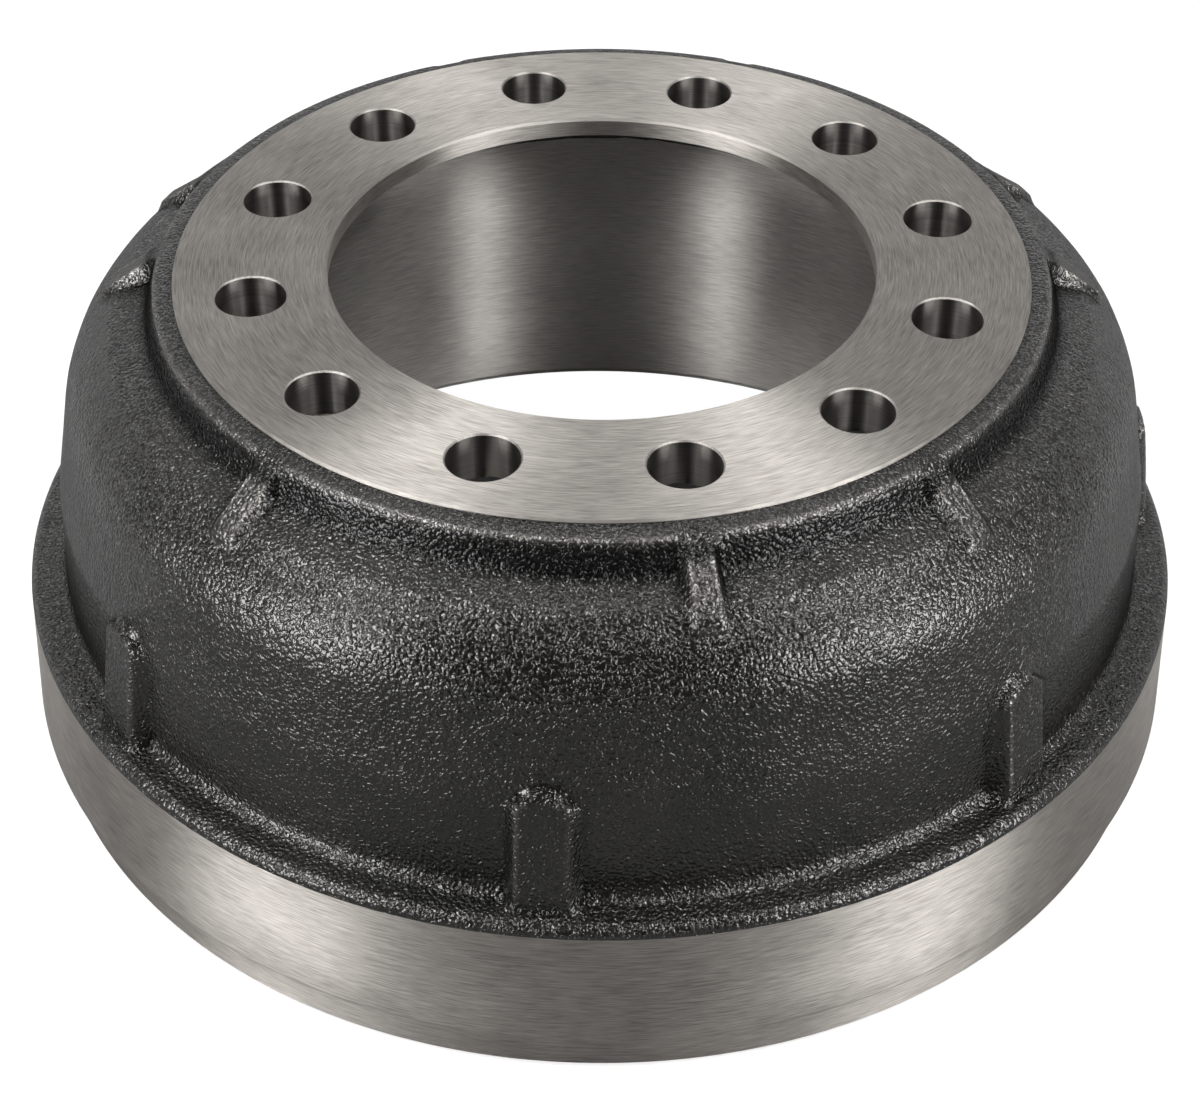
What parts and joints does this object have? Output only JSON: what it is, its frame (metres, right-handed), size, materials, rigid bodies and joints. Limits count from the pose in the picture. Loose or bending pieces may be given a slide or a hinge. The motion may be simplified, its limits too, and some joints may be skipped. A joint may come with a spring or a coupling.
{
  "type": "brake drum",
  "caption": "Cast iron brake drum for a heavy vehicle, with a flat bolted hub flange, central pilot bore, ribbed shoulder, upright lugs and an open turned rim.",
  "frame": {"origin": "centre of the open rim, in the plane that the drum rests on with its open end down", "axes": "+Z along the axis of rotation, from the open rim up to the hub face; +X towards the right of the picture and +Y away from its viewer"},
  "size_m": [0.4986, 0.4984, 0.21],
  "materials": {
    "cast_iron": "sand-cast grey iron, bare, with turned faces where it mates and brakes"
  },
  "bodies": {
    "root": {"brake_drum": "cast_iron"}
  },
  "joints": []
}
